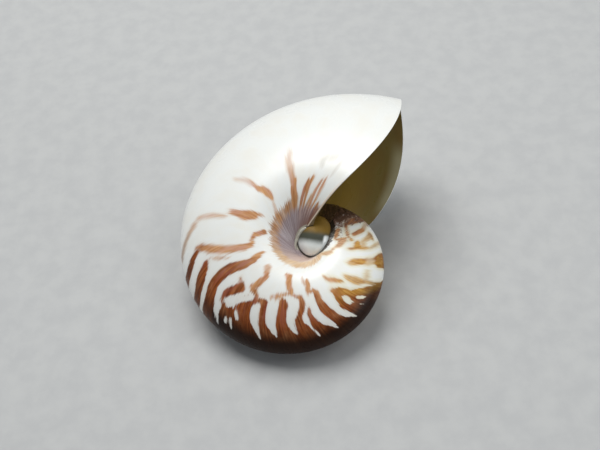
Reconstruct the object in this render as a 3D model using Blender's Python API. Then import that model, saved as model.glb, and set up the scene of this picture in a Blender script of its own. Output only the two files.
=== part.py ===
"""A whole nautilus shell, lying on its side. Blender 4.5, metres, +Z up.

The shell is one solid. It is made in its own coil frame, with the coil axis on Z, as the living
shell is made: a growth line is turned about the axis and shrunk a little, again and again. The
body chamber is then cut out from the lip back to the last septum, a callus knob is joined on at
each umbilicus, and the finished shell is laid on its side.
"""

import math

import bmesh
import bpy
from mathutils import Matrix, Vector

# The size and growth of the coil
VENTER_RADIUS = 0.108  # from the coil axis to the outermost edge at the lip
TURN_GROWTH = 3.263  # how many times the shell widens in a whole turn
GROWTH_RATE = math.log(TURN_GROWTH) / math.tau

# The section of the tube, in shares of the venter's radius
CREST_RADIUS = 0.418  # where the flank stands highest
HALF_WIDTH = 0.359  # the height of the crest above the coil's middle plane
FLANK_POWER = 1.65  # 2 would make the section above the crest an ellipse
FUNNEL_POWER = 2.32  # how the flank falls from the crest into the umbilicus
UMBILICUS_RADIUS = 0.082
UMBILICUS_HEIGHT = 0.43  # the share of the half width that is left at the umbilicus

# Growth lines lag behind a straight radius by these angles, in radians
LIP_LEAD = -0.127
VENTER_SINUS = 0.366  # the broad notch in the lip at the venter
SINUS_SPREAD = 0.379  # in shares of the half girth, from the venter to the umbilicus
FLANK_SWEEP = 0.97

# The body chamber
WALL = 0.0016  # at the lip's end of the chamber, and thinner further in, as the coil shrinks
LIP_EDGE = 0.0007
LIP_TAPER = 0.30  # the angle, in radians, over which the wall thins to its edge
CHAMBER_TURN = math.radians(124)  # from the lip to the last septum
CHAMBER_END = 0.87  # the share of the half girth where the chamber's side ends
FLOOR_END = 0.72  # the same on the old whorl that makes the chamber's floor
FLOOR_LAYER = 0.0004  # the thin layer laid over the old whorl inside the chamber
CUT_OVERRUN = 0.14  # how far the chamber's cutter stands out of the lip, in radians
SEPTUM_ROUNDS = 4
SEPTUM_DISH = 0.28  # how far the last septum is dished, in radians
SEPTUM_CLOSE = 0.9  # how nearly the dished rounds close

# The callus knob at each umbilicus, in shares of the venter's radius
KNOB_PLACE = (0.076, 0.019, 0.080)
KNOB_RADII = (0.103, 0.087, 0.080)
KNOB_TURN = math.radians(30)

# How finely the solid is faceted
TURN_STEPS = 60
GIRTH_STEPS = 18  # on each side of the venter
GIRTH_CROWD = 0.35  # how much the steps crowd towards the umbilicus
CHAMBER_STEPS = 24
KNOB_SEGMENTS = 20
KNOB_RINGS = 12

# How the shell lies: turned about the coil axis, leant over, then turned on the table
COIL_TURN = math.radians(54.7)
REST_LEAN = math.radians(17.07)
TABLE_TURN = math.radians(-16.6)

PORCELAIN = (0.86, 0.84, 0.78, 1.0)


def clear_scene():
    for obj in list(bpy.data.objects):
        bpy.data.objects.remove(obj)


def section_point(share):
    """Radius and height of the section, from the venter at 0 to the umbilicus at 1."""
    angle = math.pi * share
    power = 2 / FLANK_POWER
    if share <= 0.5:
        radius = CREST_RADIUS + (1 - CREST_RADIUS) * max(0.0, math.cos(angle)) ** power
        return Vector((radius, HALF_WIDTH * math.sin(angle) ** power))
    fall = math.sin(angle - math.pi / 2)
    radius = CREST_RADIUS - (CREST_RADIUS - UMBILICUS_RADIUS) * fall
    height = HALF_WIDTH * (1 - (1 - UMBILICUS_HEIGHT) * fall**FUNNEL_POWER)
    return Vector((radius, height))


def section_normal(share):
    """The outward direction of the section at this share of the half girth."""
    step = 0.004
    if share < step:
        return Vector((1.0, 0.0))
    along = (section_point(min(1.0, share + step)) - section_point(share - step)).normalized()
    return Vector((along.y, -along.x))


def growth_lag(share):
    """How far the growth line lags at this share of the half girth."""
    sinus = VENTER_SINUS * math.exp(-((share / SINUS_SPREAD) ** 2))
    return LIP_LEAD + sinus + FLANK_SWEEP * share**4


def coil_point(flat, side, angle):
    """The point at this radius and height of the section, this angle back from the lip."""
    size = VENTER_RADIUS * math.exp(-GROWTH_RATE * angle)
    place = (flat.x * math.cos(angle), flat.x * math.sin(angle), flat.y * side)
    return size * Vector(place)


def girth_shares(end):
    """Signed shares of the half girth, from one side's end over the venter to the other's."""
    shares = []
    for step in range(2 * GIRTH_STEPS + 1):
        even = 1 - step / GIRTH_STEPS
        crowded = abs(even) + GIRTH_CROWD * even**2 * (1 - abs(even))
        shares.append(end * math.copysign(crowded, even))
    return shares


def outer_line(angle):
    """The outer surface's growth line, this angle back from the lip."""
    line = []
    for signed in girth_shares(1.0):
        share = abs(signed)
        lag = growth_lag(share)
        line.append(coil_point(section_point(share), math.copysign(1, signed), angle + lag))
    return line


def wall_at(angle):
    """The wall's thickness as a share of the venter's radius, thinned towards the lip."""
    inwards = min(1.0, max(0.0, angle / LIP_TAPER))
    eased = inwards * inwards * (3 - 2 * inwards)
    return (LIP_EDGE + (WALL - LIP_EDGE) * eased) / VENTER_RADIUS


def chamber_side(angle):
    """The inner face of the outer wall, this angle back from the lip."""
    line = []
    for signed in girth_shares(CHAMBER_END):
        share = abs(signed)
        inside = section_point(share) - wall_at(angle) * section_normal(share)
        lag = growth_lag(share)
        line.append(coil_point(inside, math.copysign(1, signed), angle + lag))
    return line


def chamber_floor(angle):
    """The old whorl with the thin layer on it, below the same growth line."""
    line = []
    for signed in girth_shares(FLOOR_END):
        share = abs(signed)
        raised = FLOOR_LAYER / VENTER_RADIUS * section_normal(share)
        floor = section_point(share) / TURN_GROWTH + raised
        lag = growth_lag(share)
        line.append(coil_point(floor, math.copysign(1, signed), angle + lag))
    return line


def add_row(mesh, points, closed):
    """Adds a row of joined points to the mesh."""
    row = [mesh.verts.new(point) for point in points]
    for pair in neighbours(row, closed):
        mesh.edges.new(pair)
    return row


def neighbours(row, closed):
    pairs = list(zip(row, row[1:]))
    if closed:
        pairs.append((row[-1], row[0]))
    return pairs


def grow_row(mesh, row, points, closed):
    """Extrudes a row and moves the new row to these points."""
    edges = [mesh.edges.get(pair) for pair in neighbours(row, closed)]
    made = bmesh.ops.extrude_edge_only(mesh, edges=edges)["geom"]
    fresh = {item for item in made if isinstance(item, bmesh.types.BMVert)}
    new_row = []
    for vert, point in zip(row, points):
        twin = next(e.other_vert(vert) for e in vert.link_edges if e.other_vert(vert) in fresh)
        twin.co = point
        new_row.append(twin)
    return new_row


def bridge_rows(mesh, first, second):
    """Closes the gap between two rows of as many points."""
    edges = [mesh.edges.get(pair) for row in (first, second) for pair in neighbours(row, False)]
    bmesh.ops.bridge_loops(mesh, edges=edges)


def make_object(name, mesh, collection):
    """Makes an object of the mesh, with its faces pointing out."""
    bmesh.ops.recalc_face_normals(mesh, faces=mesh.faces)
    data = bpy.data.meshes.new(name)
    mesh.to_mesh(data)
    mesh.free()
    obj = bpy.data.objects.new(name, data)
    collection.objects.link(obj)
    return obj


def make_coil(collection):
    """The outside of the shell: one whole turn, closed across the mouth and at the umbilici."""
    mesh = bmesh.new()
    lip = add_row(mesh, outer_line(0.0), closed=False)
    row = lip
    for step in range(1, TURN_STEPS + 1):
        row = grow_row(mesh, row, outer_line(math.tau * step / TURN_STEPS), closed=False)
    bridge_rows(mesh, lip, row)
    for side, end in ((1, 0), (-1, -1)):
        rim = [edge for edge in mesh.edges if edge.is_boundary]
        rim = [edge for edge in rim if edge.verts[0].co.z * side > 0]
        floor = bmesh.ops.extrude_edge_only(mesh, edges=rim)["geom"]
        middle = [item for item in floor if isinstance(item, bmesh.types.BMVert)]
        height = (lip[end].co.z + row[end].co.z) / 2
        bmesh.ops.pointmerge(mesh, verts=middle, merge_co=Vector((0.0, 0.0, height)))
    return make_object("shell", mesh, collection)


def make_chamber(collection):
    """The cutter of the body chamber, from outside the lip back to the dished last septum."""
    mesh = bmesh.new()
    count = 2 * GIRTH_STEPS + 1
    first = chamber_side(-CUT_OVERRUN) + list(reversed(chamber_floor(-CUT_OVERRUN)))
    row = add_row(mesh, first, closed=True)
    bridge_rows(mesh, row[:count], row[count:])
    sweep = CHAMBER_TURN + CUT_OVERRUN
    for step in range(1, CHAMBER_STEPS + 1):
        angle = sweep * step / CHAMBER_STEPS - CUT_OVERRUN
        points = chamber_side(angle) + list(reversed(chamber_floor(angle)))
        row = grow_row(mesh, row, points, closed=True)
    for round_number in range(1, SEPTUM_ROUNDS + 1):
        around = math.pi / 2 * SEPTUM_CLOSE * round_number / SEPTUM_ROUNDS
        angle = CHAMBER_TURN + SEPTUM_DISH * math.sin(around)
        closing = (1 - math.cos(around)) / 2
        side = chamber_side(angle)
        floor = chamber_floor(angle)
        drawn = [s.lerp(f, closing) for s, f in zip(side, floor)]
        drawn += reversed([f.lerp(s, closing) for s, f in zip(side, floor)])
        row = grow_row(mesh, row, drawn, closed=True)
    bridge_rows(mesh, row[:count], row[count:])
    return make_object("chamber_cutter", mesh, collection)


def make_knob(name, side, collection):
    """The callus knob that closes one umbilicus."""
    mesh = bmesh.new()
    size = VENTER_RADIUS
    place = Vector((KNOB_PLACE[0], KNOB_PLACE[1], KNOB_PLACE[2] * side)) * size
    bmesh.ops.create_uvsphere(mesh, u_segments=KNOB_SEGMENTS, v_segments=KNOB_RINGS, radius=size)
    bmesh.ops.scale(mesh, vec=KNOB_RADII, verts=mesh.verts)
    turn = Matrix.Rotation(KNOB_TURN, 3, "Z")
    bmesh.ops.rotate(mesh, cent=(0, 0, 0), matrix=turn, verts=mesh.verts)
    bmesh.ops.translate(mesh, vec=place, verts=mesh.verts)
    return make_object(name, mesh, collection)


def cut_or_join(obj, tool, operation):
    """Applies one exact Boolean to the object."""
    modifier = obj.modifiers.new(tool.name, "BOOLEAN")
    modifier.operation = operation
    modifier.solver = "EXACT"
    modifier.object = tool
    bpy.context.view_layer.objects.active = obj
    with bpy.context.temp_override(object=obj, active_object=obj, selected_objects=[obj]):
        bpy.ops.object.modifier_apply(modifier=modifier.name)


def lay_down(obj):
    """Lays the shell on its side, on the ground, with the middle of its box over the origin."""
    turn = Matrix.Rotation(TABLE_TURN, 4, "Z")
    turn = turn @ Matrix.Rotation(REST_LEAN, 4, "X") @ Matrix.Rotation(COIL_TURN, 4, "Z")
    obj.data.transform(turn)
    low = Vector([min(v.co[axis] for v in obj.data.vertices) for axis in range(3)])
    high = Vector([max(v.co[axis] for v in obj.data.vertices) for axis in range(3)])
    middle = (low + high) / 2
    obj.data.transform(Matrix.Translation((-middle.x, -middle.y, -low.z)))


def paint(obj, name, colour, roughness):
    material = bpy.data.materials.new(name)
    material.use_nodes = True
    shader = material.node_tree.nodes["Principled BSDF"]
    shader.inputs["Base Color"].default_value = colour
    shader.inputs["Roughness"].default_value = roughness
    obj.data.materials.clear()
    obj.data.materials.append(material)


def main():
    clear_scene()
    scene = bpy.context.scene
    parts = bpy.data.collections.new("nautilus_shell")
    cutters = bpy.data.collections.new("cutters")
    scene.collection.children.link(parts)
    scene.collection.children.link(cutters)

    shell = make_coil(parts)
    chamber = make_chamber(cutters)
    knobs = [make_knob("near_knob", 1, cutters), make_knob("far_knob", -1, cutters)]
    cut_or_join(shell, chamber, "DIFFERENCE")
    for knob in knobs:
        cut_or_join(shell, knob, "UNION")
    for tool in (chamber, *knobs):
        tool.hide_render = True
        tool.display_type = "WIRE"
    lay_down(shell)
    paint(shell, "shell_porcelain", PORCELAIN, 0.35)


main()
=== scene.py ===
"""A whole nautilus shell lying on its side on a pale surface.

The shell is grown, not drawn: one growth line is turned about the coil axis and shrunk a little,
again and again. Every point of it then has a growth angle, counted back from the lip, and a
girth, from 0 at the venter to 1 at the umbilicus. The stripes are laid down on those two.
"""

import math

import bpy
import numpy as np
from mathutils import Matrix, Vector


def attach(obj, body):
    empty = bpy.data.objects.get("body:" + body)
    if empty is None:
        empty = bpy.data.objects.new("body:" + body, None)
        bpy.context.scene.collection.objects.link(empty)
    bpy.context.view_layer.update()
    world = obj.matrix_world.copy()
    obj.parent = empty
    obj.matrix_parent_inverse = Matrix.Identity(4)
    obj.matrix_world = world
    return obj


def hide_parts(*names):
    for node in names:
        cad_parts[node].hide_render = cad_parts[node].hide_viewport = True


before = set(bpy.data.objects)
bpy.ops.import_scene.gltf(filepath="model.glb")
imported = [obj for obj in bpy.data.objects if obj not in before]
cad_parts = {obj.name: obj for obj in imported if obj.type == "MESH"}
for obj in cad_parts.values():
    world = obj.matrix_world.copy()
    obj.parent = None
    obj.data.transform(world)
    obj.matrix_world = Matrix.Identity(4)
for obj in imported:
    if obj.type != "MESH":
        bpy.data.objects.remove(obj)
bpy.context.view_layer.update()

# The coil, as in the part
VENTER_RADIUS = 0.108  # of the plain spiral, from the coil axis
TURN_GROWTH = 3.263  # how many times the shell widens in a whole turn
GROWTH_RATE = math.log(TURN_GROWTH) / math.tau

# The section of the tube, in shares of the venter's radius
CREST_RADIUS = 0.418  # where the flank stands highest
HALF_WIDTH = 0.359
FLANK_POWER = 1.65  # 2 would make the section above the crest an ellipse
FUNNEL_POWER = 2.32  # how the flank falls from the crest into the umbilicus
UMBILICUS_RADIUS = 0.082
UMBILICUS_HEIGHT = 0.43  # the share of the half width that is left at the umbilicus
SKIN = 0.9965  # of the solid's size, so that the smooth shell stays inside the solid's box

# Growth lines lag behind a straight radius by these angles, in radians
LIP_LEAD = -0.127
VENTER_SINUS = 0.366  # the broad notch in the lip at the venter
SINUS_SPREAD = 0.379  # in shares of the half girth
FLANK_SWEEP = 0.97
LIP_END_START = 0.77  # past this girth the lip sweeps further back, down beside the knob
LIP_END_SPAN = 0.14  # the girth over which it gains the sweep below
LIP_END_SWEEP = math.radians(9)

# The body chamber
WALL = 0.0085  # in venter radii
THIN_LIP = 0.55  # how much of the wall is left at the lip
THIN_ROWS = 10  # the rows of growth over which the wall gains its full thickness
OVERRUN_ROWS = 2  # how many rows the cutter stands out of the lip
CHAMBER_TURN = math.radians(124)  # from the lip to the last septum
CHAMBER_END = 0.905  # the share of the half girth where the chamber's side ends
LIP_CHAMBER_END = 0.96  # the same at the lip
FLOOR_END = 0.72  # the same on the old whorl that makes the chamber's floor
FLOOR_LAYER = 0.0037  # the thin layer over the old whorl, in venter radii
SEPTUM_DISH = 0.28  # how far the last septum is dished, in radians
SEPTUM_ROUNDS = (0.35, 0.7, 1.05, 1.35)  # how far round the dish each row of it lies

# The callus knobs, in venter radii
KNOB_PLACE = (0.076, 0.019, 0.080)
KNOB_RADII = (0.103, 0.087, 0.080)
KNOB_TURN = math.radians(30)
TOWARDS_MOUTH = (0.93, 0.30, 0.20)  # on the knob as a ball, before it is turned and sized
BORDER_GIRTH = (0.6, 0.999)  # between these the funnel meets the knob
BORDER_HALVINGS = 24

# The thickened end of the lip, beside the knob
RIM_SHARE = 0.905  # of the girth, where it leaves the lip
RIM_START = math.radians(6)  # where it reaches the knob's border
RIM_END = math.radians(72)
RIM_JOIN = 0.2  # the share of its length that passes from the lip to the border
RIM_RADIUS = 0.0013
RIM_ROOT = 0.20  # the share of the radius where it leaves the lip
RIM_SWELL = 2.4  # how fast it thickens from there, in radii per length
RIM_THINNING = 0.6  # the power by which it thins out
RIM_TIP = 0.0001
RIM_POINTS = 16

# How finely it is grown
TURN_STEPS = 90
TURN_STEP = math.tau / TURN_STEPS
GIRTH_STEPS = 24  # on each side of the venter
ROW_POINTS = 2 * GIRTH_STEPS + 1
GIRTH_CROWD = 0.35  # how much the steps crowd towards the umbilicus
TIGHTEN_ROUNDS = 3
COIL_LEVELS = 2
CHAMBER_LEVELS = 1
KNOB_LEVELS = 5
MERGE_WITHIN = 0.0000005
KEPT_SHARP = math.radians(50)  # edges sharper than this stay sharp, such as the lip

# How it lies
COIL_TURN = math.radians(54.7)
REST_LEAN = math.radians(17.07)
TABLE_TURN = math.radians(-16.6)
COIL_CENTRE = Vector((0.002622, -0.019840, 0.027287))
SHELL_MIDDLE = Vector((0, 0, 0.03))

# The photograph's camera, in the coil's own frame and in venter radii
CAMERA_PLACE = Vector((-0.6828, -1.3712, 3.8613))
CAMERA_RIGHT = Vector((0.6853, -0.7139, -0.1440))
CAMERA_UP = Vector((0.7051, 0.6009, 0.3766))
CAMERA_LENS = 51.0


def laid_down():
    """The matrix from the coil's own frame to the shell as it lies."""
    turn = Matrix.Rotation(TABLE_TURN, 4, "Z")
    turn = turn @ Matrix.Rotation(REST_LEAN, 4, "X") @ Matrix.Rotation(COIL_TURN, 4, "Z")
    return Matrix.Translation(COIL_CENTRE) @ turn


# The growth line


def section_point(share):
    """Radius and height of the section, from the venter at 0 to the umbilicus at 1."""
    angle = math.pi * share
    power = 2 / FLANK_POWER
    if share <= 0.5:
        radius = CREST_RADIUS + (1 - CREST_RADIUS) * max(0.0, math.cos(angle)) ** power
        return Vector((radius, HALF_WIDTH * math.sin(angle) ** power))
    fall = math.sin(angle - math.pi / 2)
    radius = CREST_RADIUS - (CREST_RADIUS - UMBILICUS_RADIUS) * fall
    height = HALF_WIDTH * (1 - (1 - UMBILICUS_HEIGHT) * fall**FUNNEL_POWER)
    return Vector((radius, height))


def section_normal(share):
    """The outward direction of the section."""
    step = 0.004
    if share < step:
        return Vector((1.0, 0.0))
    along = (section_point(min(1.0, share + step)) - section_point(share - step)).normalized()
    return Vector((along.y, -along.x))


def lip_end_lag(share):
    """The further lag of the growth line's last stretch, where it comes down to the knob."""
    past = np.maximum(0.0, share - LIP_END_START) / LIP_END_SPAN
    return LIP_END_SWEEP * past**1.5


def growth_lag(share):
    """How far the growth line lags behind a straight radius."""
    sinus = VENTER_SINUS * math.exp(-((share / SINUS_SPREAD) ** 2))
    return LIP_LEAD + sinus + FLANK_SWEEP * share**4 + lip_end_lag(share)


def coil_point(flat, side, angle):
    """The point at this radius and height of the section, this angle back from the lip."""
    size = VENTER_RADIUS * SKIN * math.exp(-GROWTH_RATE * angle)
    return size * Vector((flat.x * math.cos(angle), flat.x * math.sin(angle), flat.y * side))


def girth_shares(end):
    """Signed shares of the half girth, from one side's end over the venter to the other's."""
    shares = []
    for step in range(ROW_POINTS):
        even = 1 - step / GIRTH_STEPS
        crowded = abs(even) + GIRTH_CROWD * even**2 * (1 - abs(even))
        shares.append(end * math.copysign(crowded, even))
    return shares


def growth_line(shape, end, angle):
    """One row of points over the venter; shape gives the section at each share of the girth."""
    line = []
    for signed in girth_shares(end):
        share = abs(signed)
        place = angle + growth_lag(share)
        line.append(coil_point(shape(share), math.copysign(1, signed), place))
    return line


def inner_wall(share, full):
    """The inner face of the wall, where this much of the full thickness is reached."""
    return section_point(share) - WALL * full * section_normal(share)


def old_whorl(share):
    """The old whorl under the chamber, with the thin layer on it."""
    return section_point(share) / TURN_GROWTH + FLOOR_LAYER * section_normal(share)


def drawn_tight(points, closed):
    """Cage points whose smoothed curve runs through the points given."""
    goal = [p.copy() for p in points]
    cage = [p.copy() for p in points]
    last = len(points) - 1
    for _ in range(TIGHTEN_ROUNDS):
        smooth = []
        for i, point in enumerate(cage):
            if not closed and i in (0, last):
                smooth.append(point.copy())
                continue
            after = cage[(i + 1) % len(cage)]
            smooth.append((cage[i - 1] + 4 * point + after) / 6)
        cage = [c + g - s for c, g, s in zip(cage, goal, smooth)]
    return cage


# Modelling by hand


def deselect_all():
    for obj in bpy.context.selected_objects:
        obj.select_set(False)


def start_row(name, points, closed):
    """A circle opened out into this row of points, left in edit mode with all of it selected."""
    deselect_all()
    bpy.ops.mesh.primitive_circle_add(vertices=len(points), radius=0.1, fill_type="NOTHING")
    obj = bpy.context.object
    obj.name = name
    obj.data.name = name
    for vert, point in zip(obj.data.vertices, points):
        vert.co = point
    ends = {0, len(points) - 1}
    for vert in obj.data.vertices:
        vert.select = False
    for edge in obj.data.edges:
        edge.select = not closed and set(edge.vertices) == ends
    bpy.ops.object.mode_set(mode="EDIT")
    bpy.ops.mesh.select_mode(type="EDGE")
    if not closed:
        bpy.ops.mesh.delete(type="EDGE_FACE")
    bpy.ops.mesh.select_all(action="SELECT")
    return obj


def grow(steps, angle):
    """Extrudes the selected row, turned about the coil axis and shrunk, so many times."""
    shrink = math.exp(-GROWTH_RATE * angle)
    for _ in range(steps):
        bpy.ops.mesh.extrude_region()
        bpy.ops.transform.rotate(value=-angle, orient_axis="Z", center_override=(0, 0, 0))
        bpy.ops.transform.resize(value=(shrink,) * 3, center_override=(0, 0, 0))


def select_edges(obj, chosen):
    """Selects the edges that chosen names, by their two vertices, and goes to edit mode."""
    bpy.ops.object.mode_set(mode="OBJECT")
    for part in (*obj.data.polygons, *obj.data.vertices):
        part.select = False
    for edge in obj.data.edges:
        edge.select = chosen(*edge.vertices)
    bpy.ops.object.mode_set(mode="EDIT")


def smooth_out(obj, levels):
    bpy.context.view_layer.objects.active = obj
    smooth = obj.modifiers.new("smooth", "SUBSURF")
    smooth.levels = levels
    smooth.render_levels = levels
    bpy.ops.object.modifier_apply(modifier="smooth")


def combine(obj, tool, operation):
    bpy.context.view_layer.objects.active = obj
    modifier = obj.modifiers.new("combine", "BOOLEAN")
    modifier.operation = operation
    modifier.solver = "EXACT"
    modifier.object = tool
    modifier.material_mode = "TRANSFER"
    bpy.ops.object.modifier_apply(modifier="combine")
    bpy.data.objects.remove(tool)


def model_coil():
    """The outside: a whole turn, closed over the mouth and at the two umbilici."""
    line = drawn_tight(growth_line(section_point, 1.0, 0.0), closed=False)
    coil = start_row("nautilus_shell", line, closed=False)
    grow(TURN_STEPS, TURN_STEP)
    last = TURN_STEPS * ROW_POINTS

    def on_mouth(a, b):
        return max(a, b) < ROW_POINTS or min(a, b) >= last

    select_edges(coil, on_mouth)
    bpy.ops.mesh.bridge_edge_loops()
    for end in (0, ROW_POINTS - 1):
        rim = {row * ROW_POINTS + end for row in range(TURN_STEPS + 1)}
        select_edges(coil, lambda a, b, rim=rim: a in rim and b in rim)
        bpy.ops.mesh.extrude_region()
        bpy.ops.mesh.merge(type="CENTER")
    select_edges(coil, on_mouth)
    bpy.ops.transform.edge_crease(value=1.0)
    bpy.ops.object.mode_set(mode="OBJECT")
    return coil


def model_chamber():
    """What is cut out of the coil: the body chamber, back to the dished last septum."""
    row_size = 2 * ROW_POINTS
    lead = OVERRUN_ROWS * TURN_STEP

    def row_at(angle, closing=0.0):
        back = float(ease(angle, 0.0, THIN_ROWS * TURN_STEP - lead))
        full = THIN_LIP + (1 - THIN_LIP) * back
        end = LIP_CHAMBER_END + (CHAMBER_END - LIP_CHAMBER_END) * back
        side = growth_line(lambda share: inner_wall(share, full), end, angle)
        floor = growth_line(old_whorl, FLOOR_END, angle)
        drawn = [s.lerp(f, closing) for s, f in zip(side, floor)]
        drawn += reversed([f.lerp(s, closing) for s, f in zip(side, floor)])
        return drawn

    chamber = start_row("chamber", drawn_tight(row_at(-lead), closed=True), closed=True)
    grow(round((CHAMBER_TURN + lead) / TURN_STEP), TURN_STEP)
    for around in SEPTUM_ROUNDS:
        bpy.ops.mesh.extrude_region()
        bpy.ops.object.mode_set(mode="OBJECT")
        points = row_at(CHAMBER_TURN + SEPTUM_DISH * math.sin(around), (1 - math.cos(around)) / 2)
        chosen = [v for v in chamber.data.vertices if v.select]
        for vert, point in zip(chosen, points):
            vert.co = point
        bpy.ops.object.mode_set(mode="EDIT")
    bpy.ops.object.mode_set(mode="OBJECT")
    for row in range(THIN_ROWS):
        first = row * row_size
        points = drawn_tight(row_at(row * TURN_STEP - lead), closed=True)
        for vert, point in zip(chamber.data.vertices[first : first + row_size], points):
            vert.co = point
    total = len(chamber.data.vertices)
    for base in (0, total - row_size):
        middle = base + ROW_POINTS
        halves = (range(base, middle), range(middle, base + row_size))
        select_edges(chamber, lambda a, b, h=halves: any(a in r and b in r for r in h))
        bpy.ops.mesh.bridge_edge_loops()
        bpy.ops.object.mode_set(mode="OBJECT")
    return chamber


def face_outwards(obj):
    deselect_all()
    obj.select_set(True)
    bpy.context.view_layer.objects.active = obj
    bpy.ops.object.mode_set(mode="EDIT")
    bpy.ops.mesh.select_all(action="SELECT")
    bpy.ops.mesh.remove_doubles(threshold=MERGE_WITHIN)
    bpy.ops.mesh.normals_make_consistent(inside=False)
    bpy.ops.object.mode_set(mode="OBJECT")


def model_knob(name, side):
    """The callus knob that closes one umbilicus."""
    deselect_all()
    bpy.ops.mesh.primitive_cube_add(size=2.0, location=(0, 0, 0))
    knob = bpy.context.object
    knob.name = name
    knob.data.name = name
    smooth_out(knob, KNOB_LEVELS)
    for vert in knob.data.vertices:
        vert.co = vert.co.normalized()
    ball = mesh_points(knob.data)
    write_note(knob.data, "mouthward", ball @ np.array(TOWARDS_MOUTH))
    write_note(knob.data, "whorlward", -ball[:, 1])
    knob.data.transform(knob_frame(side))
    return knob


def knob_border(angle):
    """Where the funnel meets the near knob, this growth angle back from the lip."""
    into = knob_frame(1).inverted()
    low, high = BORDER_GIRTH
    for _ in range(BORDER_HALVINGS):
        share = (low + high) / 2
        place = coil_point(section_point(share), 1, angle + growth_lag(share))
        if (into @ place).length > 1.0:
            low = share
        else:
            high = share
    return place


def model_lip_rim(name, side):
    """The thickened end of the lip, which runs down beside the knob and thins out."""
    deselect_all()
    bpy.ops.curve.primitive_nurbs_path_add()
    rim = bpy.context.object
    rim.name = name
    rim.data.name = name
    spline = rim.data.splines[0]
    spline.points.add(RIM_POINTS - len(spline.points))
    for step, point in enumerate(spline.points):
        part = step / (RIM_POINTS - 1)
        along = max(0.0, part - RIM_JOIN) / (1 - RIM_JOIN)
        place = knob_border(RIM_START + (RIM_END - RIM_START) * along)
        if part < RIM_JOIN:
            leaves = coil_point(section_point(RIM_SHARE), 1, growth_lag(RIM_SHARE))
            place = leaves.lerp(place, part / RIM_JOIN)
        point.co = (place.x, place.y, place.z * side, 1.0)
        swelling = min(1.0, RIM_ROOT + RIM_SWELL * part)
        point.radius = RIM_RADIUS * (1 - part) ** RIM_THINNING * swelling + RIM_TIP
    rim.data.use_fill_caps = True
    rim.data.bevel_depth = 1.0
    rim.data.bevel_resolution = 3
    bpy.ops.object.convert(target="MESH")
    return rim


# Where each point of the shell grew

GIRTH_SAMPLES = 801
LEAST_SIZE = 0.0001


def growth_of(points):
    """Growth angle in degrees, girth and depth under the outside of each point of the coil."""
    shares = np.linspace(0.0, 1.0, GIRTH_SAMPLES)
    flat = np.array([section_point(share) for share in shares])
    bearing = np.arctan2(flat[:, 1], flat[:, 0])
    out = np.hypot(points[:, 0], points[:, 1])
    girth = np.interp(np.arctan2(np.abs(points[:, 2]), out), bearing, shares)
    reach = np.interp(girth, shares, np.hypot(flat[:, 0], flat[:, 1]))
    size = np.hypot(out, points[:, 2]) / (VENTER_RADIUS * reach)
    grown = -np.log(np.maximum(size, LEAST_SIZE)) / GROWTH_RATE
    around = np.arctan2(points[:, 1], points[:, 0])
    turned = around + math.tau * np.round((grown - around) / math.tau)
    lag = LIP_LEAD + VENTER_SINUS * np.exp(-((girth / SINUS_SPREAD) ** 2)) + FLANK_SWEEP * girth**4
    depth = (SKIN * np.exp(-GROWTH_RATE * turned) - size) * reach
    return np.degrees(turned - lag), girth, depth


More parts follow.
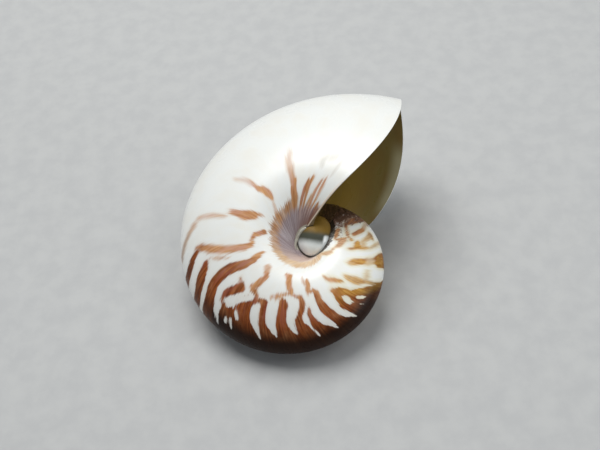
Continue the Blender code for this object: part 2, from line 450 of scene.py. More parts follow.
# The stripes: a fade, from 0 for full brown to 1 for barely there and past 1 for a grey smudge,
# then points of growth angle in degrees, girth and half width in degrees of growth
STRIPES = (
    (1.30, ((23.5, 0.50, 0.8), (26.5, 0.522, 1.6), (25, 0.54, 0.8))),
    (1.30, ((12.4, 0.515, 0.5), (12.8, 0.545, 0.9), (13, 0.585, 0.5))),
    (1.30, ((17.5, 0.492, 0.4), (20, 0.50, 0.8))),
    (0.25, ((4, 0.775, 0.5), (7, 0.765, 1.4), (9, 0.755, 2.0), (9.5, 0.79, 2.4), (11, 0.82, 1.6))),
    (0.45, ((16, 0.62, 1.1), (15.5, 0.66, 1.8), (15, 0.72, 1.6), (17, 0.78, 1.4))),
    (0.35, ((19.5, 0.625, 1.2), (20.5, 0.67, 2.0), (21, 0.74, 1.9), (23, 0.80, 1.2))),
    (0.70, ((24, 0.70, 0.9), (26, 0.74, 1.5), (28, 0.78, 1.0))),
    (0.35, ((29, 0.605, 1.0), (31.5, 0.635, 1.9), (31.5, 0.68, 1.8), (32.5, 0.76, 1.4))),
    (0.25, ((33, 0.62, 1.2), (35.5, 0.66, 2.5), (37, 0.71, 2.5), (38, 0.78, 1.4))),
    (0.93, ((50.5, 0.44, 0.8), (52.5, 0.48, 2.4), (52, 0.52, 2.8))),
    (0.74, ((52, 0.52, 2.8), (51.5, 0.55, 2.4), (50.5, 0.59, 2.2))),
    (0.30, ((48, 0.605, 2.0), (49.5, 0.64, 3.6), (48, 0.69, 4.4), (50, 0.74, 2.4))),
    (0.97, ((87, 0.37, 0.5), (85, 0.41, 1.2), (84.5, 0.44, 1.8))),
    (0.42, ((83.5, 0.44, 1.0), (84, 0.49, 1.8), (80.5, 0.53, 2.4), (77.5, 0.58, 2.8))),
    (0.90, ((79, 0.64, 1.6), (82, 0.68, 2.0))),
    (0.80, ((121, 0.08, 2.0), (119, 0.12, 1.8), (116, 0.17, 1.8), (112.5, 0.22, 1.4))),
    (0.80, ((110, 0.25, 0.9), (111, 0.32, 1.4), (112.6, 0.38, 0.9))),
    (0.45, ((109, 0.43, 2.4), (109.5, 0.485, 4.0), (106, 0.535, 3.2), (103, 0.56, 1.8))),
    (0.80, ((103, 0.57, 1.2), (99, 0.60, 0.8))),
    (0.25, ((113.5, 0.64, 0.8), (118, 0.63, 1.5), (121, 0.61, 2.0), (123.5, 0.585, 2.0))),
    (0.35, ((123.5, 0.585, 2.0), (126.5, 0.565, 1.3), (130, 0.55, 1.1), (133, 0.535, 0.7))),
    (0.10, ((132, 0.00, 2.3), (131.4, 0.12, 2.3), (129.7, 0.18, 2.1), (127.4, 0.23, 1.6))),
    (0.55, ((125, 0.235, 0.8), (126.4, 0.26, 1.5), (130, 0.30, 1.6), (133, 0.335, 1.9))),
    (0.65, ((133, 0.335, 1.9), (136, 0.37, 2.3), (138, 0.42, 2.9), (139.5, 0.47, 3.2))),
    (0.60, ((139.5, 0.47, 3.2), (138.5, 0.515, 2.6), (135, 0.545, 0.9), (132, 0.55, 0.6))),
    (0.05, ((142.8, 0.00, 2.7), (142.6, 0.13, 2.6), (141, 0.20, 3.3), (138.6, 0.24, 2.9))),
    (0.15, ((138.6, 0.24, 2.9), (136.6, 0.27, 1.6))),
    (0.70, ((136, 0.30, 0.3), (140, 0.345, 0.4), (143.4, 0.385, 0.3))),
    (0.00, ((153.5, 0.00, 5.6), (152.6, 0.12, 4.6), (151.2, 0.20, 3.6), (149.4, 0.265, 3.0))),
    (0.15, ((149.4, 0.265, 3.0), (149.8, 0.32, 3.2), (150.8, 0.37, 3.3), (152.8, 0.41, 3.3))),
    (0.25, ((152.8, 0.41, 3.3), (154.8, 0.45, 3.6), (155, 0.49, 3.5), (152.6, 0.53, 2.6))),
    (0.55, ((152.6, 0.53, 2.6), (150, 0.56, 1.7), (148, 0.585, 1.3), (146.5, 0.60, 0.8))),
    (0.15, ((158.8, 0.245, 1.2), (159, 0.275, 1.8), (161.2, 0.305, 2.0), (163.6, 0.33, 2.2))),
    (0.20, ((163.6, 0.33, 2.2), (165.6, 0.353, 2.2), (169, 0.354, 1.1))),
    (0.30, ((166, 0.37, 0.9), (161.5, 0.382, 0.5))),
    (0.15, ((160.6, 0.235, 0.6), (161.6, 0.20, 0.9), (161, 0.14, 1.6))),
    (0.25, ((168.9, 0.25, 0.7), (170, 0.272, 1.0))),
    (0.10, ((165.6, 0.225, 1.4), (167.4, 0.243, 0.9))),
    (0.05, ((176, 0.15, 7.4), (176, 0.24, 4.6), (174.6, 0.28, 4.8), (177.5, 0.315, 3.0))),
    (0.20, ((170.2, 0.285, 1.4), (174, 0.305, 2.6), (177.5, 0.318, 2.8), (181, 0.338, 2.1))),
    (0.20, ((181, 0.338, 2.1), (185, 0.35, 1.6), (190, 0.346, 1.3))),
    (0.40, ((182, 0.355, 1.5), (178.6, 0.375, 1.2), (174.5, 0.39, 1.3), (172, 0.395, 0.8))),
    (0.45, ((174.5, 0.40, 2.0), (176.6, 0.44, 2.9), (178, 0.475, 2.6), (175, 0.51, 2.0))),
    (0.80, ((175, 0.51, 2.0), (171.5, 0.545, 2.2), (167.5, 0.555, 1.6))),
    (0.00, ((189, 0.12, 4.4), (188.8, 0.20, 2.8), (188.2, 0.26, 2.4), (188.2, 0.31, 2.4))),
    (0.10, ((188.2, 0.31, 2.4), (188.6, 0.348, 1.8))),
    (0.00, ((201.4, 0.12, 5.0), (201.2, 0.20, 4.0), (201.3, 0.25, 3.9), (201.5, 0.29, 3.4))),
    (0.15, ((201.5, 0.29, 3.4), (203, 0.33, 3.8), (204, 0.355, 3.2), (202, 0.372, 2.4))),
    (0.65, ((192, 0.388, 0.8), (196, 0.40, 1.4), (200, 0.41, 1.0), (204, 0.424, 0.6))),
    (0.30, ((204, 0.424, 0.6), (209, 0.43, 0.5), (214, 0.413, 0.8), (219, 0.406, 0.9))),
    (0.50, ((210, 0.44, 1.3), (206.5, 0.47, 2.5), (204, 0.51, 3.0), (202, 0.545, 3.0))),
    (0.65, ((202, 0.545, 3.0), (197.5, 0.57, 1.6), (194, 0.58, 0.7))),
    (0.00, ((213.6, 0.12, 4.6), (213.6, 0.20, 3.8), (213.2, 0.25, 3.2), (214, 0.29, 2.8))),
    (0.20, ((214, 0.29, 2.8), (216.4, 0.315, 2.0), (218.4, 0.345, 2.1), (219.6, 0.375, 2.4))),
    (0.35, ((219.6, 0.375, 2.4), (219, 0.40, 1.9))),
    (0.05, ((224.4, 0.12, 4.0), (224, 0.20, 3.1), (223.5, 0.25, 2.7), (223.4, 0.30, 2.3))),
    (0.15, ((223.4, 0.30, 2.3), (224, 0.34, 1.2))),
    (0.00, ((238.6, 0.10, 5.2), (238.4, 0.18, 4.2), (237.8, 0.22, 4.0), (236.4, 0.27, 3.5))),
    (0.15, ((236.4, 0.27, 3.5), (235.4, 0.31, 3.9), (234.8, 0.35, 3.1), (234.2, 0.39, 2.2))),
    (0.40, ((237, 0.38, 1.2), (236.5, 0.405, 1.6), (233, 0.43, 1.0), (228, 0.43, 0.8))),
    (0.55, ((226, 0.415, 0.6), (227, 0.445, 2.2), (228.4, 0.475, 2.6), (227, 0.515, 2.2))),
    (0.85, ((224.5, 0.49, 0.8), (222, 0.52, 1.7), (219.5, 0.56, 1.0))),
    (0.00, ((250.4, 0.08, 4.6), (250, 0.15, 3.8), (250, 0.20, 3.6), (248.6, 0.25, 3.1))),
    (0.10, ((250.4, 0.17, 4.4), (250.4, 0.205, 4.2), (249, 0.24, 3.0))),
    (0.10, ((248.6, 0.25, 3.1), (249.2, 0.29, 2.6), (251.2, 0.33, 2.9), (256, 0.335, 2.5))),
    (0.20, ((256, 0.335, 2.5), (259, 0.31, 2.5), (259.6, 0.27, 2.5), (257.6, 0.25, 2.1))),
    (0.05, ((257.6, 0.25, 2.1), (256.8, 0.20, 2.0), (257, 0.10, 3.0))),
    (0.15, ((259.6, 0.27, 2.4), (263, 0.252, 2.3), (266.4, 0.22, 2.2), (269.6, 0.175, 1.8))),
    (0.50, ((269.6, 0.175, 1.8), (271.5, 0.13, 1.6), (272, 0.05, 1.6))),
    (0.45, ((254, 0.36, 1.0), (251.5, 0.365, 1.6), (249, 0.372, 0.8))),
    (0.60, ((265.2, 0.373, 0.8), (261.5, 0.40, 1.8), (259, 0.42, 1.6), (255.5, 0.44, 1.7))),
    (0.75, ((255.5, 0.44, 1.7), (252.8, 0.47, 1.7), (251.5, 0.495, 0.8))),
    (0.70, ((274, 0.08, 2.0), (273.6, 0.16, 1.0), (274, 0.23, 1.3), (272, 0.30, 3.6))),
    (0.78, ((272, 0.30, 3.6), (271.4, 0.345, 2.8))),
    (0.97, ((275, 0.235, 1.0), (279, 0.235, 1.2), (283, 0.24, 0.6))),
    (0.25, ((292.4, 0.00, 6.2), (292.4, 0.11, 6.0), (293, 0.145, 4.2))),
    (0.92, ((293, 0.15, 3.6), (292.5, 0.20, 2.6), (292, 0.25, 3.4))),
    (0.50, ((292.2, 0.27, 2.4), (291.6, 0.30, 3.2), (290.8, 0.335, 3.6))),
    (0.80, ((290.8, 0.335, 3.6), (287.5, 0.37, 2.2))),
    (0.85, ((307.4, 0.02, 1.6), (306, 0.15, 1.6), (304.8, 0.22, 1.0))),
    (0.72, ((304.8, 0.22, 1.0), (305.8, 0.26, 1.6), (306.8, 0.30, 1.8))),
    (0.55, ((307.4, 0.315, 2.0), (309, 0.322, 2.8), (312.4, 0.318, 2.2), (314.6, 0.315, 0.9))),
    (0.92, ((309, 0.27, 1.6), (312.5, 0.27, 1.8))),
    (0.75, ((307, 0.33, 1.4), (306.6, 0.38, 1.8))),
    (0.72, ((311.8, 0.15, 1.0), (315, 0.165, 2.8), (318.4, 0.165, 1.6))),
    (0.80, ((315.4, 0.185, 2.8), (314, 0.24, 1.8), (313.6, 0.27, 1.0))),
    (0.85, ((328, 0.02, 1.8), (327, 0.12, 1.6), (325.6, 0.19, 2.0))),
    (0.45, ((324.8, 0.215, 2.2), (325, 0.26, 2.7), (324.6, 0.305, 2.6))),
    (0.35, ((334, 0.00, 5.0), (334, 0.10, 4.0), (337, 0.20, 3.0), (340.5, 0.27, 3.6))),
    (0.60, ((318, 0.355, 0.6), (324, 0.37, 0.9), (330, 0.365, 0.8), (337, 0.34, 1.2))),
    (0.45, ((337, 0.34, 1.2), (342, 0.315, 1.8))),
    (0.80, ((280.5, 0.69, 1.6), (285, 0.655, 2.6), (290, 0.625, 3.2), (295, 0.59, 2.4))),
    (0.80, ((295, 0.59, 2.4), (301, 0.565, 1.2), (307, 0.54, 1.0), (310.5, 0.49, 2.6))),
    (0.72, ((310.5, 0.49, 2.6), (315, 0.462, 2.4), (320, 0.435, 3.0), (322.6, 0.42, 2.8))),
    (0.66, ((322.6, 0.42, 2.8), (323.4, 0.45, 2.6), (325, 0.485, 1.4))),
    (0.50, ((327, 0.50, 1.2), (331, 0.47, 1.8), (336, 0.45, 2.0), (341, 0.42, 2.4))),
)
# White gaps between and inside the stripes, as points of growth angle, girth and half width
GAPS = (
    ((159, 0.09, 0.4), (158.4, 0.15, 1.0), (156.6, 0.21, 1.8), (155.4, 0.26, 2.2)),
    ((163.6, 0.24, 0.8), (166.6, 0.268, 1.1), (171, 0.312, 1.2), (177.4, 0.352, 1.4)),
    ((164.4, 0.155, 1.2), (164.6, 0.172, 1.2)),
    ((168.2, 0.135, 0.35), (167.4, 0.19, 0.5)),
    ((170.4, 0.238, 1.0), (171.2, 0.218, 1.0)),
    ((185.8, 0.155, 0.3), (184.8, 0.20, 1.2), (183, 0.25, 2.8), (182.6, 0.29, 3.1)),
    ((182.6, 0.29, 3.1), (184, 0.32, 1.6)),
    ((196.2, 0.19, 0.8), (195.4, 0.22, 1.9), (194.4, 0.27, 2.8), (194.4, 0.34, 3.9)),
    ((209.2, 0.21, 0.6), (208, 0.25, 2.2), (207.6, 0.29, 2.5), (210.5, 0.34, 3.8)),
    ((221, 0.16, 0.5), (220.6, 0.20, 0.9), (219.4, 0.24, 0.6), (218.2, 0.29, 1.4)),
    ((218.2, 0.29, 1.4), (220.8, 0.325, 0.9), (223.4, 0.36, 1.0)),
    ((233.4, 0.155, 0.4), (232, 0.195, 1.5), (229.6, 0.25, 2.7), (227.9, 0.31, 2.9)),
    ((246.8, 0.13, 0.4), (246, 0.17, 1.3), (244.4, 0.205, 2.2), (243.2, 0.26, 2.7)),
    ((253.4, 0.262, 2.4), (254.2, 0.278, 2.5)),
    ((262.2, 0.172, 0.6), (261.2, 0.195, 1.2), (260.2, 0.220, 1.3)),
    ((256.4, 0.155, 0.3), (255.8, 0.18, 0.4)),
)
# The brown band along the venter: growth angle in degrees, and how far up the girth it reaches
VENTER_BAND = (
    (0, -0.4), (132, -0.2), (148, 0.0), (155, 0.06), (159, 0.16), (160.5, 0.215), (162, 0.24),
    (166, 0.25), (170, 0.25), (173, 0.22), (177, 0.22), (180, 0.25), (181.5, 0.22), (184, 0.18),
    (187, 0.19), (190.5, 0.25), (193, 0.22), (196, 0.20), (200, 0.22), (204, 0.26), (206, 0.25),
    (208, 0.22), (212, 0.22), (215, 0.265), (219, 0.26), (221, 0.18), (224, 0.26), (227, 0.25),
    (229, 0.22), (232, 0.18), (236, 0.19), (240, 0.24), (242, 0.21), (244.5, 0.17), (247, 0.14),
    (249, 0.17), (252, 0.21), (258, 0.22), (262, 0.24), (265, 0.24), (268, 0.205), (272, 0.15),
    (276, 0.07), (281, -0.08), (290, -0.3), (500, -0.4),
)
GIRTH_SCALE = 80.0  # degrees of growth that are as long as the whole half girth
FADE_BLEND = 0.9  # degrees over which one stripe's fade passes into the next one's
FADE_REACH = 9.0  # degrees within which a stripe's distance counts for the fade
FAR_OFF = 50.0  # degrees, for a point near no stripe
FAR_SIDE_SHIFT = 7.0  # degrees by which the far side's stripes lie further back


def distance_to(marks, angle, across):
    """How far each point lies outside a stroke of changing width, in degrees."""
    nearest = np.full(angle.shape, FAR_OFF)
    for (a0, g0, w0), (a1, g1, w1) in zip(marks, marks[1:]):
        along = np.array((a1 - a0, (g1 - g0) * GIRTH_SCALE))
        start = (angle - a0) * along[0] + (across - g0 * GIRTH_SCALE) * along[1]
        part = np.clip(start / (along @ along), 0.0, 1.0)
        gap_a = angle - a0 - part * along[0]
        gap_g = across - g0 * GIRTH_SCALE - part * along[1]
        nearest = np.minimum(nearest, np.hypot(gap_a, gap_g) - (w0 + part * (w1 - w0)))
    return nearest


def pull_of(gap):
    """How much a stripe that is this far off counts for the fade."""
    return np.exp(-np.clip(gap, -FADE_REACH, FADE_REACH) / FADE_BLEND)


def stripe_field(angle, girth):
    """How far each point lies outside the nearest stripe, in degrees, and the fade there."""
    across = girth * GIRTH_SCALE
    band = np.array(VENTER_BAND)
    field = (girth - np.interp(angle, band[:, 0], band[:, 1])) * GIRTH_SCALE
    pull = pull_of(field)
    fade = np.zeros(angle.shape)
    for pale, marks in STRIPES:
        gap = distance_to(marks, angle, across)
        fade += pale * pull_of(gap)
        pull += pull_of(gap)
        field = np.minimum(field, gap)
    for marks in GAPS:
        field = np.maximum(field, -distance_to(marks, angle, across))
    return field, fade / pull


def ease(value, low, high):
    """0 below low, 1 above high, and a smooth passage between."""
    part = np.clip((value - low) / (high - low), 0.0, 1.0)
    return part * part * (3 - 2 * part)


# Where the dark film on the old whorl begins: girth, and growth angle in degrees
FILM_EDGE = (
    (0.0, 330), (0.1, 331), (0.18, 335), (0.25, 341), (0.33, 345), (0.4, 346), (0.47, 341),
    (0.52, 333), (0.57, 325), (0.62, 316), (0.67, 306), (0.72, 296), (0.80, 288),
)


def knob_frame(side):
    """The matrix from a unit ball to one callus knob."""
    place = Vector((KNOB_PLACE[0], KNOB_PLACE[1], KNOB_PLACE[2] * side)) * VENTER_RADIUS
    size = Matrix.Diagonal((*(VENTER_RADIUS * radius for radius in KNOB_RADII), 1.0))
    return Matrix.Translation(place) @ Matrix.Rotation(KNOB_TURN, 4, "Z") @ size


def clear_of_knob(points):
    """How far each point lies outside the knob of its own side, in venter radii."""
    into = np.array(knob_frame(1).inverted())
    mirrored = points * (1, 1, -1)
    near = np.where(points[:, 2:] > 0, points, mirrored)
    flat = near @ into[:3, :3].T + into[:3, 3]
    return (np.linalg.norm(flat, axis=1) - 1) * KNOB_RADII[1]


def write_note(mesh, name, values):
    mesh.attributes.new(name, "FLOAT", "POINT").data.foreach_set("value", values)


def mesh_points(mesh):
    places = np.empty(len(mesh.vertices) * 3)
    mesh.vertices.foreach_get("co", places)
    return places.reshape(-1, 3)


def note_growth(obj):
    """Writes on the mesh where each point grew and how its surface is marked."""
    mesh = obj.data
    points = mesh_points(mesh)
    angle, girth, depth = growth_of(points)
    far = points[:, 2] < 0
    shift = np.where(far, FAR_SIDE_SHIFT * ease(girth, 0.1, 0.4), 0.0)
    field, fade = stripe_field(angle + shift, girth)
    edge = np.array(FILM_EDGE)
    write_note(mesh, "stripe", field)
    write_note(mesh, "fade", fade)
    write_note(mesh, "angle", angle)
    write_note(mesh, "from_lip", angle - np.degrees(lip_end_lag(girth)))
    write_note(mesh, "depth", depth * 100)
    write_note(mesh, "girth", girth)
    write_note(mesh, "film", angle - np.interp(girth, edge[:, 0], edge[:, 1]))
    write_note(mesh, "knob_gap", clear_of_knob(points) * 100)
    side = np.where(far, -0.3, 0.3) * girth
    grown = np.stack((angle * 0.1, girth * GIRTH_SCALE * 0.1, side), 1)
    vector = mesh.attributes.new("grown", "FLOAT_VECTOR", "POINT")
    vector.data.foreach_set("vector", grown.astype(np.float32).ravel())


# Finishes


class Finish:
    """A material and short ways to add its nodes."""

    def __init__(self, name):
        self.material = bpy.data.materials.new(name)
        self.material.use_nodes = True
        self.tree = self.material.node_tree
        self.shader = self.tree.nodes["Principled BSDF"]

    def feed(self, socket, value):
        """Links a node's output to the socket, or sets the socket to a plain value."""
        if hasattr(value, "is_linked"):
            self.tree.links.new(value, socket)
        else:
            socket.default_value = value

    def add(self, kind, **settings):
        node = self.tree.nodes.new("ShaderNode" + kind)
        for name, value in settings.items():
            setattr(node, name, value)
        return node

    def note(self, name, out="Fac"):
        node = self.add("Attribute", attribute_name=name)
        return node.outputs[out]

    def math(self, operation, a, b, clamp=False):
        node = self.add("Math", operation=operation, use_clamp=clamp)
        self.feed(node.inputs[0], a)
        self.feed(node.inputs[1], b)
        return node.outputs[0]

    def plus(self, a, b, clamp=False):
        return self.math("ADD", a, b, clamp)

    def less(self, a, b):
        return self.math("SUBTRACT", a, b)

    def times(self, a, b):
        return self.math("MULTIPLY", a, b)

    def stretched(self, vector, scale):
        node = self.add("VectorMath", operation="MULTIPLY")
        self.feed(node.inputs[0], vector)
        node.inputs[1].default_value = scale
        return node.outputs[0]

    def noise(self, vector, scale=1.0, detail=3.0, roughness=0.55):
        node = self.add("TexNoise")
        self.feed(node.inputs["Vector"], vector)
        node.inputs["Scale"].default_value = scale
        node.inputs["Detail"].default_value = detail
        node.inputs["Roughness"].default_value = roughness
        return node.outputs[0]

    def ramp(self, value, low, high, to_low=0.0, to_high=1.0):
        """A smooth passage from one number to another as the value goes from low to high."""
        node = self.add("MapRange", interpolation_type="SMOOTHSTEP")
        self.feed(node.inputs["Value"], value)
        self.feed(node.inputs["From Min"], low)
        self.feed(node.inputs["From Max"], high)
        self.feed(node.inputs["To Min"], to_low)
        self.feed(node.inputs["To Max"], to_high)
        return node.outputs[0]

    def mix(self, part, a, b):
        """One colour passing into another; the Mix node's colours are its inputs 6 and 7."""
        node = self.add("Mix", data_type="RGBA")
        self.feed(node.inputs[0], part)
        self.feed(node.inputs[6], a)
        self.feed(node.inputs[7], b)
        return node.outputs[2]

    def bump(self, height, strength, distance):
        node = self.add("Bump")
        self.feed(node.inputs["Height"], height)
        node.inputs["Strength"].default_value = strength
        node.inputs["Distance"].default_value = distance
        self.feed(self.shader.inputs["Normal"], node.outputs[0])

    def set(self, **values):
        for name, value in values.items():
            self.feed(self.shader.inputs[name.replace("_", " ")], value)


def porcelain():
    """The outside: white porcelain with brown stripes, a grey-purple umbilicus and a dark film."""
    f = Finish("shell_porcelain")
    grown = f.note("grown", "Vector")
    angle, girth, fade = f.note("angle"), f.note("girth"), f.note("fade")
    from_lip = f.note("from_lip")
    ragged = f.less(f.noise(f.stretched(grown, (2.6, 1.0, 1)), 1.0, 4.0), 0.5)
    frayed = f.less(f.noise(f.stretched(grown, (8.0, 0.9, 1)), 1.0, 4.0, 0.65), 0.5)
    clouds = f.noise(f.stretched(grown, (1.2, 1.2, 1)), 1.0, 3.0)
    streaks = f.noise(f.stretched(grown, (6.0, 0.55, 1)), 1.0, 6.0, 0.7)

    edge = f.plus(f.note("stripe"), f.times(ragged, 2.0))
    edge = f.plus(edge, f.times(frayed, f.plus(fade, 2.4)))
    soft = f.plus(f.times(fade, 1.3), 0.35)
    mask = f.ramp(edge, soft, f.times(soft, -1.0))

    dark = f.mix(f.ramp(streaks, 0.30, 0.74), (0.130, 0.028, 0.010, 1), (0.42, 0.125, 0.032, 1))
    light = f.mix(f.ramp(streaks, 0.30, 0.72), (0.42, 0.17, 0.060, 1), (0.74, 0.44, 0.23, 1))
    pale = f.ramp(f.plus(fade, f.ramp(girth, 0.3, 0.5, 0.0, 0.22)), 0.1, 0.75)
    pale = f.plus(pale, f.ramp(clouds, 0.45, 0.75, 0.0, 0.35), clamp=True)
    brown = f.mix(pale, dark, light)
    pinkish = f.times(f.ramp(ragged, -0.02, 0.12), f.ramp(girth, 0.2, 0.3, 0.0, 0.55))
    pinkish = f.times(pinkish, f.ramp(angle, 215, 245, 1.0, 0.45))
    brown = f.mix(pinkish, brown, f.mix(pale, (0.32, 0.095, 0.065, 1), (0.60, 0.33, 0.26, 1)))
    low = f.ramp(angle, 256, 275, 0.23, -0.02)
    ochre = f.times(f.ramp(angle, 238, 262, 0.0, 0.85), f.ramp(girth, 0.42, 0.36))
    ochre = f.times(ochre, f.ramp(girth, low, f.plus(low, 0.10)))
    golden = f.mix(f.ramp(streaks, 0.30, 0.70), (0.40, 0.17, 0.022, 1), (0.74, 0.44, 0.11, 1))
    golden = f.mix(f.ramp(clouds, 0.50, 0.66, 0.0, 0.75), golden, (0.34, 0.12, 0.028, 1))
    brown = f.mix(f.times(ochre, f.ramp(angle, 326, 317)), brown, golden)
    # Near the venter the brown turns almost black: partly the venter's own dark brown, partly
    # painted shade on the underside.
    venter_dark_and_shade = f.times(f.ramp(girth, 0.26, 0.13), f.ramp(angle, 284, 258, 0.30, 1.0))
    venter_dark_and_shade = f.times(venter_dark_and_shade, f.ramp(angle, 145, 160, 0.5, 1.0))
    brown = f.mix(f.times(venter_dark_and_shade, 0.95), brown, (0.010, 0.004, 0.002, 1))
    cream = f.mix(f.ramp(clouds, 0.35, 0.75), (0.86, 0.88, 0.86, 1), (0.85, 0.85, 0.80, 1))
    cream = f.mix(f.ramp(edge, 2.2, 0.2, 0.0, 0.14), cream, (0.62, 0.42, 0.24, 1))
    halo = f.times(f.ramp(edge, 4.0, 0.2), f.ramp(angle, 236, 262, 0.0, 0.45))
    cream = f.mix(halo, cream, (0.74, 0.66, 0.36, 1))
    brown = f.mix(f.ramp(fade, 1.0, 1.2), brown, (0.50, 0.51, 0.47, 1))
    mask = f.times(mask, f.ramp(fade, 0.6, 1.0, 1.0, 0.45))
    body = f.mix(mask, cream, brown)

    spread = f.plus(girth, f.times(ragged, 0.04))
    spread = f.plus(spread, f.times(frayed, 0.14))
    early = f.ramp(angle, 118, 165)
    tan = f.mix(f.ramp(streaks, 0.33, 0.67), (0.27, 0.11, 0.040, 1), (0.60, 0.32, 0.14, 1))
    sand = f.mix(f.ramp(streaks, 0.35, 0.65), (0.56, 0.34, 0.17, 1), (0.78, 0.60, 0.40, 1))
    tan = f.mix(early, tan, sand)
    fringe = f.times(f.ramp(spread, 0.662, 0.69), f.ramp(spread, 0.86, 0.75))
    fringe = f.times(fringe, f.times(f.ramp(angle, 38, 48), f.ramp(angle, 300, 270)))
    body = f.mix(f.times(fringe, f.ramp(clouds, 0.3, 0.6, 0.75, 1.0)), body, tan)
    purple = f.mix(f.ramp(streaks, 0.35, 0.65), (0.23, 0.165, 0.17, 1), (0.45, 0.38, 0.40, 1))
    reddish = f.times(f.ramp(from_lip, 60, 6), f.ramp(girth, 0.76, 0.86, 0.45, 0.80))
    purple = f.mix(reddish, purple, (0.27, 0.125, 0.085, 1))
    rosy = f.times(f.ramp(from_lip, 50, 34), f.ramp(girth, 0.84, 0.76, 0.0, 0.85))
    rosy = f.times(rosy, f.ramp(streaks, 0.48, 0.60))
    purple = f.mix(rosy, purple, (0.66, 0.46, 0.39, 1))
    purple = f.mix(f.ramp(angle, 110, 175, 0.0, 0.8), purple, (0.66, 0.50, 0.42, 1))
    start = f.plus(f.ramp(angle, 30, 0, 0.0, 0.04), f.ramp(angle, 140, 230, 0.0, 0.07))
    zone = f.ramp(f.less(spread, start), 0.715, 0.765)
    body = f.mix(f.times(zone, f.ramp(angle, 318, 296)), body, purple)
    strip = f.plus(from_lip, f.times(frayed, 8.0))
    strip = f.times(f.ramp(strip, 8.5, 6.0), f.ramp(girth, 0.73, 0.78, 0.0, 0.85))
    red_brown = f.mix(f.ramp(streaks, 0.35, 0.65), (0.19, 0.070, 0.040, 1), (0.40, 0.22, 0.15, 1))
    body = f.mix(strip, body, red_brown)
    lip = f.times(f.ramp(from_lip, 2.4, 1.2), f.ramp(girth, 0.55, 0.75))
    # Towards the inside the lip's face turns to the chamber's dark olive: painted shade.
    inner = f.ramp(f.note("depth"), 0.60, 0.95)
    body = f.mix(lip, body, f.mix(inner, (0.80, 0.66, 0.52, 1), (0.150, 0.095, 0.026, 1)))

    patchy = f.noise(f.stretched(grown, (3.2, 2.2, 3.0)), 1.0, 5.0, 0.6)
    film = f.plus(f.note("film"), f.times(f.less(patchy, 0.5), 52.0))
    film = f.plus(film, f.times(ragged, 14.0))
    thin = f.mix(f.ramp(streaks, 0.40, 0.62), (0.15, 0.068, 0.045, 1), (0.34, 0.22, 0.16, 1))
    thick = f.mix(f.ramp(patchy, 0.42, 0.62), (0.030, 0.017, 0.009, 1), (0.130, 0.070, 0.045, 1))
    film_brown = f.mix(f.ramp(film, 1.0, 13.0), thin, thick)
    film = f.times(f.ramp(film, -5.0, 5.0), f.ramp(f.note("film"), -16.0, -6.0))
    body = f.mix(film, body, film_brown)
    crackle = f.noise(f.stretched(grown, (6.0, 5.0, 6.0)), 1.0, 4.0, 0.6)
    flecks = f.times(f.ramp(crackle, 0.53, 0.60), f.ramp(angle, 310, 336, 0.0, 0.85))
    flecks = f.times(flecks, f.ramp(girth, 0.30, 0.40))
    rust = f.mix(f.ramp(ragged, -0.05, 0.08), (0.15, 0.060, 0.042, 1), (0.32, 0.19, 0.13, 1))
    body = f.mix(flecks, body, rust)
    gap = f.note("knob_gap")
    rim = f.times(f.ramp(gap, 1.7, 1.2), f.ramp(angle, 100, 78))
    rim = f.times(rim, f.ramp(from_lip, 2.0, 6.0))
    body = f.mix(rim, body, (0.52, 0.50, 0.40, 1))
    # A dark band where the funnel meets the knob, wider and ragged towards the old whorl: painted
    # shade in the seam.
    seam_shade = f.less(gap, f.ramp(angle, 262, 325, 0.0, 1.3))
    seam_shade = f.plus(seam_shade, f.times(ragged, f.ramp(angle, 262, 325, 0.0, 2.4)))
    body = f.mix(f.ramp(seam_shade, 0.85, 0.4, 0.0, 0.90), body, (0.024, 0.020, 0.012, 1))

    f.set(Base_Color=body)
    f.set(Roughness=f.ramp(clouds, 0.3, 0.7, 0.24, 0.34))
    dull = f.math("MAXIMUM", mask, film)
    f.set(Coat_Weight=f.ramp(dull, 0.0, 1.0, 1.0, 0.0), Coat_Roughness=0.32)
    f.set(Specular_IOR_Level=0.12)
    lines = f.noise(f.stretched(grown, (34.0, 0.5, 1)), 1.0, 3.0, 0.6)
    f.bump(f.plus(lines, f.times(mask, -0.15)), 0.10, 0.0004)
    return f.material


def pearl_inside_painted_shade():
    """The inside of the body chamber: pearl in a dark warm olive that is painted shade, a paler
    strip of painted light along the lip, and the dark film on the old whorl.
    """
    f = Finish("pearl_inside_painted_shade")
    grown = f.note("grown", "Vector")
    angle = f.note("angle")
    clouds = f.noise(f.stretched(grown, (1.0, 1.0, 1)), 1.0, 3.0)
    patchy = f.noise(f.stretched(grown, (4.0, 3.0, 3.0)), 1.0, 5.0, 0.65)
    # The pearl is painted a dark olive: painted shade inside the chamber.
    colour = f.mix(f.ramp(clouds, 0.3, 0.7), (0.235, 0.180, 0.050, 1), (0.225, 0.145, 0.038, 1))
    colour = f.mix(f.ramp(angle, 6, 24), colour, (0.33, 0.215, 0.042, 1))
    film = f.mix(f.ramp(patchy, 0.45, 0.65), (0.045, 0.027, 0.013, 1), (0.14, 0.075, 0.045, 1))
    on_old_whorl = f.times(f.ramp(angle, 300, 330), f.ramp(angle, 400, 372))
    colour = f.mix(on_old_whorl, colour, film)
    girth = f.note("girth")
    # A paler strip on the inner face along the lip: painted light where the light reaches in.
    painted_lip_light = f.times(f.ramp(girth, 0.19, 0.27), f.ramp(girth, 0.48, 0.38))
    painted_lip_light = f.times(painted_lip_light, f.ramp(f.note("from_lip"), 6.0, 0.8, 0.0, 0.9))
    colour = f.mix(painted_lip_light, colour, (0.50, 0.46, 0.28, 1))
    f.set(Base_Color=colour, Roughness=f.ramp(clouds, 0.3, 0.7, 0.26, 0.36))
    f.set(Coat_Weight=0.12, Coat_Roughness=0.2, Specular_IOR_Level=0.35)
    lines = f.noise(f.stretched(grown, (18.0, 0.5, 1)), 1.0, 3.0)
    f.bump(lines, 0.12, 0.0005)
    return f.material


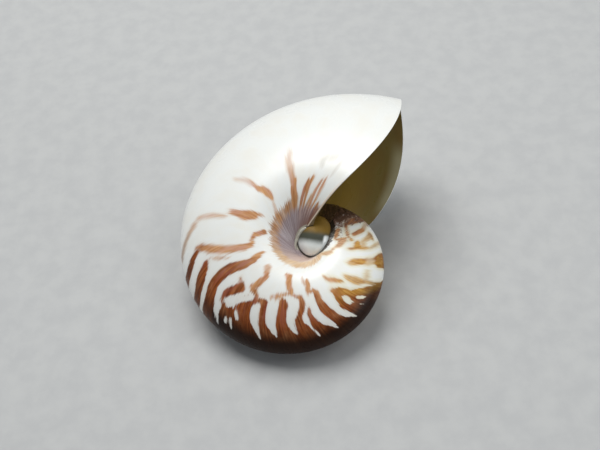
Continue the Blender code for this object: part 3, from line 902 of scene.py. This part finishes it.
def callus_pearl_painted_light():
    """The knob: silvery pearl, with a grey band of painted shade, olive where it turns to the
    mouth as a painted reflection of the chamber's inside, and a crescent of painted highlight.
    """
    f = Finish("callus_pearl_painted_light")
    place = f.add("TexCoord").outputs["Object"]
    clouds = f.noise(place, 120.0, 3.0)
    silver = f.mix(f.ramp(clouds, 0.35, 0.7), (0.93, 0.98, 0.97, 1), (0.84, 0.89, 0.88, 1))
    olive = f.mix(f.ramp(clouds, 0.4, 0.7), (0.22, 0.130, 0.022, 1), (0.27, 0.160, 0.033, 1))
    mouthward = f.plus(f.note("mouthward"), f.times(clouds, 0.12))
    whorlward = f.note("whorlward")
    shade = f.plus(mouthward, f.times(whorlward, 0.25))
    # The crescent keeps the silver bare on the side towards the whorl: a painted highlight.
    painted_highlight_crescent = f.times(f.ramp(whorlward, 0.56, 0.74), f.ramp(shade, 0.18, 0.0))
    # The grey band between silver and olive: painted shade.
    grey = f.times(f.ramp(shade, -0.46, -0.10), f.ramp(painted_highlight_crescent, 0.0, 1.0, 1.0, 0.12))
    colour = f.mix(grey, silver, (0.070, 0.074, 0.054, 1))
    # Olive towards the mouth: a painted reflection of the chamber's inside.
    colour = f.mix(f.ramp(shade, 0.02, 0.32), colour, olive)
    # Near black at the edge that meets the funnel: painted shade in the seam.
    colour = f.mix(f.ramp(whorlward, 0.80, 0.92), colour, (0.030, 0.030, 0.020, 1))
    f.set(Base_Color=colour, Roughness=f.ramp(mouthward, -0.3, 0.1, 0.16, 0.40))
    f.set(Coat_Weight=f.ramp(mouthward, -0.3, 0.1, 1.0, 0.0), Coat_Roughness=0.14)
    f.set(Specular_IOR_Level=0.15)
    f.bump(clouds, 0.05, 0.0003)
    return f.material


def cream_callus():
    """The thick end of the lip: cream with a faint pink tinge."""
    f = Finish("cream_callus")
    clouds = f.noise(f.add("TexCoord").outputs["Object"], 400.0, 3.0)
    cream = f.mix(f.ramp(clouds, 0.35, 0.65), (0.58, 0.57, 0.48, 1), (0.46, 0.42, 0.35, 1))
    f.set(Base_Color=cream)
    f.set(Roughness=f.ramp(clouds, 0.3, 0.7, 0.25, 0.35), Coat_Weight=0.3, Coat_Roughness=0.1)
    f.bump(clouds, 0.1, 0.0002)
    return f.material


def tabletop():
    f = Finish("pale_table")
    grain = f.noise(f.add("TexCoord").outputs["Object"], 90.0, 4.0)
    f.set(Base_Color=f.mix(f.ramp(grain, 0.3, 0.7), (0.46, 0.47, 0.475, 1), (0.50, 0.51, 0.51, 1)))
    f.set(Roughness=0.75)
    return f.material


# Making the shell

coil = model_coil()
chamber = model_chamber()
for cage, levels in ((coil, COIL_LEVELS), (chamber, CHAMBER_LEVELS)):
    face_outwards(cage)
    smooth_out(cage, levels)
coil.data.materials.append(porcelain())
chamber.data.materials.append(pearl_inside_painted_shade())
combine(coil, chamber, "DIFFERENCE")
note_growth(coil)
knobs = [model_knob("callus_knob_near", 1), model_knob("callus_knob_far", -1)]
rims = [model_lip_rim("lip_rim_near", 1), model_lip_rim("lip_rim_far", -1)]
for pieces, finish in ((knobs, callus_pearl_painted_light()), (rims, cream_callus())):
    for piece in pieces:
        piece.data.materials.clear()
        piece.data.materials.append(finish)
        face_outwards(piece)

for piece in (coil, *knobs, *rims):
    for face in piece.data.polygons:
        face.use_smooth = True
    deselect_all()
    piece.select_set(True)
    bpy.context.view_layer.objects.active = piece
    piece.matrix_world = laid_down()
    bpy.ops.object.transform_apply(location=True, rotation=True, scale=True)
    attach(piece, "root")
    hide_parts("shell")
coil.data.set_sharp_from_angle(angle=KEPT_SHARP)

# The table, the light and the camera

deselect_all()
bpy.ops.mesh.primitive_plane_add(size=4.0, location=(0, 0, 0))
table = bpy.context.object
table.name = "table"
table.data.materials.append(tabletop())


def soft_light(name, place, size, power, colour):
    """A round lamp of this size in metres and power in watts, aimed at the shell."""
    light = bpy.data.lights.new(name, "AREA")
    light.shape = "DISK"
    light.size = size
    light.energy = power
    light.color = colour
    obj = bpy.data.objects.new(name, light)
    bpy.context.scene.collection.objects.link(obj)
    obj.location = place
    aim = SHELL_MIDDLE - obj.location
    obj.rotation_euler = aim.to_track_quat("-Z", "Y").to_euler()


soft_light("window_light", (-0.18, 0.45, 1.20), 0.95, 14.1, (1.0, 0.99, 0.97))
soft_light("room_light", (0.60, -0.10, 0.95), 0.70, 2.2, (1.0, 0.99, 0.97))
soft_light("side_light", (0.80, -0.50, 0.20), 0.45, 1.4, (0.96, 0.98, 1.0))

world = bpy.data.worlds.new("room")
world.use_nodes = True
room = world.node_tree.nodes["Background"]
room.inputs["Color"].default_value = (0.80, 0.84, 0.88, 1)
room.inputs["Strength"].default_value = 0.28
bpy.context.scene.world = world
bpy.context.scene.view_settings.view_transform = "Standard"

lens = bpy.data.cameras.new("camera")
lens.lens = CAMERA_LENS
lens.sensor_width = 36.0
lens.clip_start = 0.01
camera = bpy.data.objects.new("camera", lens)
bpy.context.scene.collection.objects.link(camera)
toward = CAMERA_RIGHT.cross(CAMERA_UP).normalized()
axes = Matrix((CAMERA_RIGHT.normalized(), CAMERA_UP.normalized(), toward)).transposed().to_4x4()
camera.matrix_world = laid_down() @ Matrix.Translation(CAMERA_PLACE * VENTER_RADIUS) @ axes
bpy.context.scene.camera = camera
